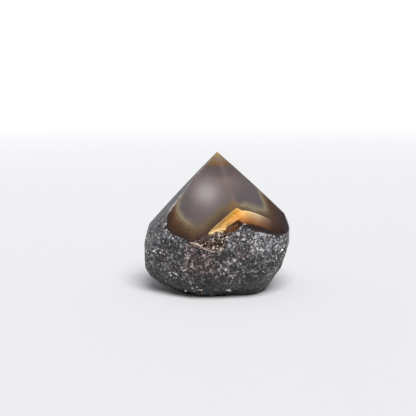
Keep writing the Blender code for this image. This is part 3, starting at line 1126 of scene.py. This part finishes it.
def polished_material(groups, name, roughness):
    """Polished agate: its bands under a clear gloss, with faint polishing haze, pale edges that are partly
    wear and partly painted highlight, and a painted amber glow above the ledge's peak.
    """
    material, tree, shader, place = new_material(name)
    bands = bands_of(tree, groups, place)
    # Pale edges between facets: partly wear, partly a painted highlight where the rounded edges catch light
    bands = mixed(tree, wear_and_edge_highlight(tree, groups, place, 3.4, 0.30), bands, (0.50, 0.44, 0.44))
    # Painted glow: amber mixed into the bands about that spot
    painted_glow = near_spot(tree, place, *PAINTED_GLOW_SPOT)
    bands = mixed(tree, times(tree, painted_glow, 0.6), bands, (0.42, 0.30, 0.15))
    grain = grain_of(tree, groups, place, 2.2)
    haze = remapped(tree, grain, (0.0, 1.0), (roughness - 0.03, roughness + 0.05))
    feed(tree, shader, {"Base Color": bands, "Roughness": haze, "IOR": QUARTZ_IOR})
    bump(tree, shader, grain, 0.00001, 0.5)
    return material


def honed_material(groups):
    """The side that was ground but not polished: grey and speckled, streaked downhill, its bands faint."""
    material, tree, shader, place = new_material("honed_side")
    grain = grain_of(tree, groups, place, 1.3)
    streaks = stretched_noise(tree, place, 45, (0.9, 0.9, 0.16), 3.0, 0.6)
    tone = plus(tree, times(tree, grain, 0.55), times(tree, streaks, 0.45))
    stops = (
        (0.36, (0.17, 0.165, 0.18)),
        (0.45, (0.32, 0.31, 0.33)),
        (0.51, (0.44, 0.43, 0.45)),
        (0.57, (0.57, 0.56, 0.58)),
        (0.66, (0.76, 0.75, 0.76)),
    )
    grey = ramp(tree, tone, stops, 1.0, SKIN_LIGHT)
    colour = mixed(tree, times(tree, grain, 0.3), grey, bands_of(tree, groups, place))
    # Pale edges: partly wear and chips, partly a painted highlight
    colour = mixed(tree, wear_and_edge_highlight(tree, groups, place, 1.8, 0.85), colour, (0.74, 0.72, 0.70))
    feed(tree, shader, {"Base Color": colour, "Roughness": 0.6, "Specular IOR Level": 0.15})
    bump(tree, shader, tone, 0.00025, 0.7)
    return material


def near_spot(tree, place, azimuth, elevation, out, radius):
    """A mask about a spot at a heading from the heart, that far out, fading to nothing at its radius."""
    spot = (HEART + heading(azimuth, elevation) * out) / MM
    gap = put(tree, "ShaderNodeVectorMath", {0: place, 1: tuple(spot)}, operation="DISTANCE").outputs["Value"]
    return inverse(tree, mask_ramp(tree, gap, 0.35 * radius, radius))


SKIN_STOPS = (
    (0.34, (0.05, 0.05, 0.055)),
    (0.42, (0.125, 0.12, 0.125)),
    (0.47, (0.23, 0.22, 0.23)),
    (0.52, (0.35, 0.34, 0.355)),
    (0.57, (0.50, 0.49, 0.505)),
    (0.63, (0.70, 0.69, 0.70)),
    (0.71, (0.92, 0.91, 0.91)),
)


def skin_material():
    """Rough skin: charcoal with grey grains of every size, slanting pale veins, and brown stains.

    The tone adds soft noise, the flat tone of each grain, and the relief, so that what stands proud is
    lighter. A painted pool of light brightens the skin's front right, and painted shade darkens it toward
    the bottom.
    """
    material, tree, shader, place = new_material("nodule_skin")
    flecks = noise(tree, place, 0.62, 4.0, 0.62, 0.4)
    cells = put(tree, "ShaderNodeTexVoronoi", {"Vector": place, "Scale": 0.8})
    cell_tone = put(tree, "ShaderNodeSeparateColor", {"Color": cells.outputs["Color"]}).outputs["Red"]
    veins = mask_ramp(tree, stretched_noise(tree, place, -58, (0.10, 0.4, 0.42), 3.0, 0.65), 0.52, 0.72)
    patches = swing(tree, place, 0.07, 0.22, 3.0)
    tone = plus(tree, times(tree, flecks, 0.66), times(tree, cell_tone, 0.20))
    tone = plus(tree, tone, times(tree, attribute(tree, "relief"), 0.12))
    tone = plus(tree, tone, plus(tree, times(tree, veins, 0.12), patches))
    # Painted light: the skin's tone is raised about a spot on its front right
    painted_light = near_spot(tree, place, *PAINTED_LIGHT_SPOT)
    tone = plus(tree, tone, plus(tree, times(tree, painted_light, 0.06), 0.035))
    # Painted shade: the skin's tone is lowered toward its bottom, below about 22 mm, where less light reaches
    low = mask_ramp(tree, put(tree, "ShaderNodeSeparateXYZ", {0: place}).outputs["Z"], 22.0, 4.0)
    tone = plus(tree, tone, times(tree, low, -0.095))
    colour = ramp(tree, tone, SKIN_STOPS, 1.0, SKIN_LIGHT)

    stain = mask_ramp(tree, noise(tree, place, 0.06, 3.0, 0.6), 0.52, 0.70)
    front_stain = near_spot(tree, place, *STAIN_SPOT)
    stain = calculated(tree, "MAXIMUM", stain, front_stain)
    brown = mixed(tree, 1.0, colour, (0.97, 0.86, 0.83), "MULTIPLY")
    colour = mixed(tree, stain, colour, brown)
    satin = remapped(tree, flecks, (0.3, 0.7), (0.62, 0.36))
    feed(tree, shader, {"Base Color": colour, "Roughness": satin})
    bump(tree, shader, tone, 0.0009, 0.9)
    return material


# Colours of the broken ledge as seen, along its rim from left to right, and how they darken down from the rim
ARM_START = -6.0
ARM_SPAN = 56.0
ARM_STOPS = (
    (0.0, (0.78, 0.65, 0.43)),
    (8.0, (0.71, 0.55, 0.31)),
    (14.0, (0.80, 0.61, 0.30)),
    (19.0, (0.90, 0.68, 0.30)),
    (23.0, (0.83, 0.65, 0.38)),
    (28.0, (0.71, 0.59, 0.43)),
    (33.0, (0.64, 0.56, 0.46)),
    (37.0, (0.48, 0.40, 0.33)),
    (43.0, (0.26, 0.18, 0.15)),
    (50.0, (0.15, 0.09, 0.08)),
)
FALL_SPAN = 12.0
FALL_STOPS = (
    (0.0, (1.0, 1.0, 1.0)),
    (2.6, (0.91, 0.88, 0.84)),
    (5.4, (0.78, 0.68, 0.59)),
    (7.8, (0.66, 0.51, 0.41)),
    (9.4, (0.36, 0.25, 0.20)),
    (10.8, (0.16, 0.09, 0.07)),
)


def broken_material(groups):
    """The broken ledge: cream crust on its left arm, orange at its peak, tan to brown on its right arm.

    The colour along the rim is multiplied by its fall down from the rim, and a pale line along the rim is
    partly a painted highlight. The left arm is thin and matt, with painted shade on its underside, and the
    right arm is smooth and glossy and darkens to the skin.
    """
    material, tree, shader, place = new_material("broken_ledge")
    across = put(tree, "ShaderNodeSeparateXYZ", {0: place}).outputs["X"]
    along = plus(tree, across, -ARM_START)
    gap = attribute(tree, "rim_gap")
    uneven = plus(tree, gap, swing(tree, place, 0.25, 1.6, 3.0))
    right = mask_ramp(tree, across, 9.0, 17.0)
    left = inverse(tree, right)
    colour = ramp(tree, along, ARM_STOPS, ARM_SPAN, LEDGE_LIGHT)
    fall = ramp(tree, uneven, FALL_STOPS, FALL_SPAN)
    falls = calculated(tree, "MAXIMUM", mask_ramp(tree, across, 0.0, 12.0), times(tree, 0.35, left))
    colour = mixed(tree, falls, colour, fall, "MULTIPLY")

    # A pale line along the broken rim: partly cream crust, partly a painted highlight where light catches the
    # sharp edge
    rim = inverse(tree, mask_ramp(tree, gap, 0.25, 0.9))
    rim = times(tree, rim, mask_ramp(tree, across, 36.0, 22.0))
    colour = mixed(tree, times(tree, rim, 0.6), colour, (0.88, 0.78, 0.60))
    skin_near = inverse(tree, mask_ramp(tree, attribute(tree, "skin_depth"), 0.6, 2.2))
    colour = mixed(tree, times(tree, skin_near, right), colour, (0.10, 0.06, 0.05))

    # The left arm's strip widens from its left end; below it, past a pale edge of crust, painted shade
    # darkens the recess under the lip
    width = remapped(tree, across, (-5.0, 5.0), (1.4, 6.3))
    past = less(tree, uneven, width)
    edge = times(tree, mask_ramp(tree, past, -0.9, -0.3), mask_ramp(tree, past, 0.4, 0.1))
    pale = times(tree, times(tree, edge, left), 0.45)
    colour = mixed(tree, pale, colour, (0.86, 0.76, 0.56))
    # Painted shade: the wall below the strip, in the recess under the lip, is mixed toward dark brown
    low = mask_ramp(tree, past, 0.1, 0.8)
    colour = mixed(tree, times(tree, low, left), colour, (0.24, 0.115, 0.05))
    grain = grain_of(tree, groups, place, 1.1)
    fine = times(tree, mask_ramp(tree, grain, 0.46, 0.62), times(tree, left, 0.22))
    colour = mixed(tree, fine, colour, (0.80, 0.68, 0.46))
    gloss = remapped(tree, right, (0.0, 1.0), (0.5, 0.28))
    feed(tree, shader, {"Base Color": colour, "Roughness": gloss, "Specular IOR Level": 0.2})
    bump(tree, shader, grain, 0.0003, 0.5)
    return material


def pocket_material(groups):
    """The pocket's wall: dark brown between pale grains."""
    material, tree, shader, place = new_material("pocket_wall")
    grain = grain_of(tree, groups, place, 1.3)
    stops = (
        (0.30, (0.09, 0.06, 0.05)),
        (0.46, (0.19, 0.13, 0.11)),
        (0.56, (0.34, 0.26, 0.22)),
        (0.66, (0.58, 0.49, 0.42)),
    )
    feed(tree, shader, {"Base Color": ramp(tree, grain, stops), "Roughness": 0.5})
    bump(tree, shader, grain, 0.0005, 0.8)
    return material


DRUSE_STOPS = (
    (0.0, (0.08, 0.05, 0.045)),
    (0.50, (0.24, 0.17, 0.15)),
    (0.78, (0.44, 0.36, 0.33)),
    (0.90, (0.74, 0.67, 0.62)),
    (1.0, (0.95, 0.92, 0.88)),
)
CRUMB_STOPS = (
    (0.0, (0.36, 0.35, 0.36)),
    (0.35, (0.56, 0.55, 0.56)),
    (0.70, (0.78, 0.77, 0.77)),
    (0.90, (0.90, 0.89, 0.88)),
    (1.0, (0.80, 0.66, 0.52)),
)


def crystal_material(groups, name, stops, roughness):
    """Small quartz crystals: each has its own tone along the stops, a little clouded, and glossy faces."""
    material, tree, shader, place = new_material(name)
    grain = grain_of(tree, groups, place, 0.9)
    clouded = times(tree, less(tree, grain, 0.5), 0.5)
    tone = plus(tree, attribute(tree, "tone"), clouded)
    feed(tree, shader, {"Base Color": ramp(tree, tone, stops), "Roughness": roughness, "IOR": QUARTZ_IOR})
    return material


LIP_STOPS = (
    (0.30, (0.52, 0.38, 0.24)),
    (0.45, (0.78, 0.64, 0.44)),
    (0.60, (0.93, 0.85, 0.68)),
)
VEIN_STOPS = (
    (0.34, (0.24, 0.18, 0.17)),
    (0.44, (0.44, 0.36, 0.34)),
    (0.53, (0.66, 0.58, 0.53)),
    (0.66, (0.84, 0.77, 0.71)),
)


def crust_material(groups, name, stops):
    """Pale crust of the lip and of the pocket's edge: its tone follows its grain."""
    material, tree, shader, place = new_material(name)
    grain = grain_of(tree, groups, place, 1.0)
    feed(tree, shader, {"Base Color": ramp(tree, grain, stops), "Roughness": 0.45})
    bump(tree, shader, grain, 0.0002, 0.6)
    return material


def floor_material():
    """Plain pale studio floor."""
    material = bpy.data.materials.new("pale_floor")
    material.use_nodes = True
    tree = material.node_tree
    matt = {"Base Color": (0.60, 0.60, 0.61, 1.0), "Roughness": 0.9, "Specular IOR Level": 0.1}
    feed(tree, tree.nodes["Principled BSDF"], matt)
    return material


# Camera, light and floor

CAMERA_AIM = Vector((-0.0061, 0.0001, 0.0560))
CAMERA_RISE = 8.5
CAMERA_DISTANCE = 0.700
CAMERA_LENS = 88.0

# The broad key light: where it comes from, its strength and its angular size in degrees
KEY_FROM = Vector((0.15, -0.62, 0.77))
KEY_STRENGTH = 4.3
KEY_ANGLE = 40

# The softbox that makes the highlight: where it comes from, its distance, size and radiance, and its aim
HIGHLIGHT_FROM = Vector((-0.452, -0.185, 0.873))
HIGHLIGHT_DISTANCE = 0.600
HIGHLIGHT_SIZE = 0.030
HIGHLIGHT_RADIANCE = 15.0
HIGHLIGHT_AIM = Vector((-0.0116, -0.0177, 0.0814))
SKY_COLOUR = (0.96, 0.97, 1.0, 1.0)
SKY_STRENGTH = 0.35


def make_camera():
    """The camera, in front of the stone and a little above it."""
    data = bpy.data.cameras.new("camera")
    data.lens = CAMERA_LENS
    data.sensor_width = 36.0
    data.clip_start = 0.01
    data.clip_end = 50.0
    camera = new_object("camera", data)
    rise = math.radians(CAMERA_RISE)
    camera.location = CAMERA_AIM + Vector((0.0, -math.cos(rise), math.sin(rise))) * CAMERA_DISTANCE
    camera.rotation_euler = (math.pi / 2 - rise, 0.0, 0.0)
    bpy.context.scene.camera = camera


def make_floor(material):
    """A level floor that curves up into a low round wall: a profile turned about the stone."""
    level, corner, height = 1.5, 0.5, 0.5
    bend_steps, turn_steps = 12, 96
    bend = np.radians(np.linspace(0.0, 90.0, bend_steps))
    radii = np.concatenate([[0.05, 0.4, 0.9], level + corner * np.sin(bend), [level + corner]])
    heights = np.concatenate([[0.0, 0.0, 0.0], corner * (1.0 - np.cos(bend)), [corner + height]])
    turn = np.linspace(0.0, 2.0 * math.pi, turn_steps, endpoint=False)
    rings = np.stack(
        [radii[:, None] * np.cos(turn), radii[:, None] * np.sin(turn), heights[:, None] + 0 * turn], axis=-1
    )
    points = np.concatenate([rings.reshape(-1, 3), [[0.0, 0.0, 0.0]]])
    faces = grid_faces(len(radii), turn_steps).tolist()
    centre = len(points) - 1
    for step in range(turn_steps):
        faces.append((centre, step, (step + 1) % turn_steps))
    mesh = bpy.data.meshes.new("floor")
    mesh.from_pydata(points.tolist(), [], faces)
    mesh.shade_smooth()
    mesh.materials.append(material)
    floor = new_object("floor", mesh)


def make_lights():
    """A broad sun through cloth from above the front, a small round softbox for the highlight, and a dim sky.

    The softbox's power is its radiance times its area times pi.
    """
    data = bpy.data.lights.new("broad_key", "SUN")
    data.energy = KEY_STRENGTH
    data.angle = math.radians(KEY_ANGLE)
    key = new_object("broad_key", data)
    key.rotation_euler = KEY_FROM.to_track_quat("Z", "Y").to_euler()

    data = bpy.data.lights.new("highlight", "AREA")
    data.shape = "DISK"
    data.size = HIGHLIGHT_SIZE
    data.energy = HIGHLIGHT_RADIANCE * math.pi * math.pi * HIGHLIGHT_SIZE**2 / 4.0
    light = new_object("highlight", data)
    toward = HIGHLIGHT_FROM.normalized()
    light.location = HIGHLIGHT_AIM + toward * HIGHLIGHT_DISTANCE
    light.rotation_euler = toward.to_track_quat("Z", "Y").to_euler()

    world = bpy.data.worlds.new("dim_sky")
    bpy.context.scene.world = world
    world.use_nodes = True
    sky = world.node_tree.nodes["Background"]
    feed(world.node_tree, sky, {"Color": SKY_COLOUR, "Strength": SKY_STRENGTH})


# Lines of the two ridges of crust: azimuth, elevation, lift off the surface and half width at each place
LIP_LINE = (
    (-8.3, 6.6, 0.0002, 0.0004),
    (-5.3, 5.2, 0.0003, 0.0006),
    (-2.1, 7.6, 0.0003, 0.0006),
    (1.5, 7.2, 0.0003, 0.0005),
    (6.1, 6.4, 0.0, 0.0004),
)
VEIN_LINE = (
    (-25.1, -2.9, -0.0002, 0.0003),
    (-22.0, -2.9, 0.0, 0.0006),
    (-18.6, -3.4, 0.0003, 0.0008),
    (-15.3, -5.0, 0.0004, 0.0007),
    (-11.6, -6.4, 0.0004, 0.0006),
    (-8.8, -7.6, 0.0002, 0.0004),
    (-4.7, -9.6, 0.0001, 0.0005),
    (-1.4, -8.9, 0.0004, 0.0004),
    (3.4, -5.6, 0.0008, 0.0005),
    (7.2, -1.0, 0.0006, 0.0003),
)


def build():
    """Everything: finishes, pieces, camera, lights and floor."""
    bpy.context.scene.view_settings.view_transform = "Standard"
    groups = {"grain": stone_grain_group(), "bands": agate_bands_group()}
    lip_crust = crust_material(groups, "lip_crust", LIP_STOPS)
    vein_crust = crust_material(groups, "vein_crust", VEIN_STOPS)
    finishes = [
        polished_material(groups, "polished_agate", 0.13),
        skin_material(),
        broken_material(groups),
        pocket_material(groups),
        polished_material(groups, "ground_foot", 0.42),
        honed_material(groups),
    ]
    make_stone(finishes)
    make_druse(crystal_material(groups, "druse_quartz", DRUSE_STOPS, 0.16))
    make_crumbs(crystal_material(groups, "crumb_quartz", CRUMB_STOPS, 0.30))
    make_ridge("ledge_lip", LIP_LINE, lip_crust, 51)
    make_ridge("pocket_vein", VEIN_LINE, vein_crust, 57)
    make_camera()
    make_lights()
    make_floor(floor_material())


build()
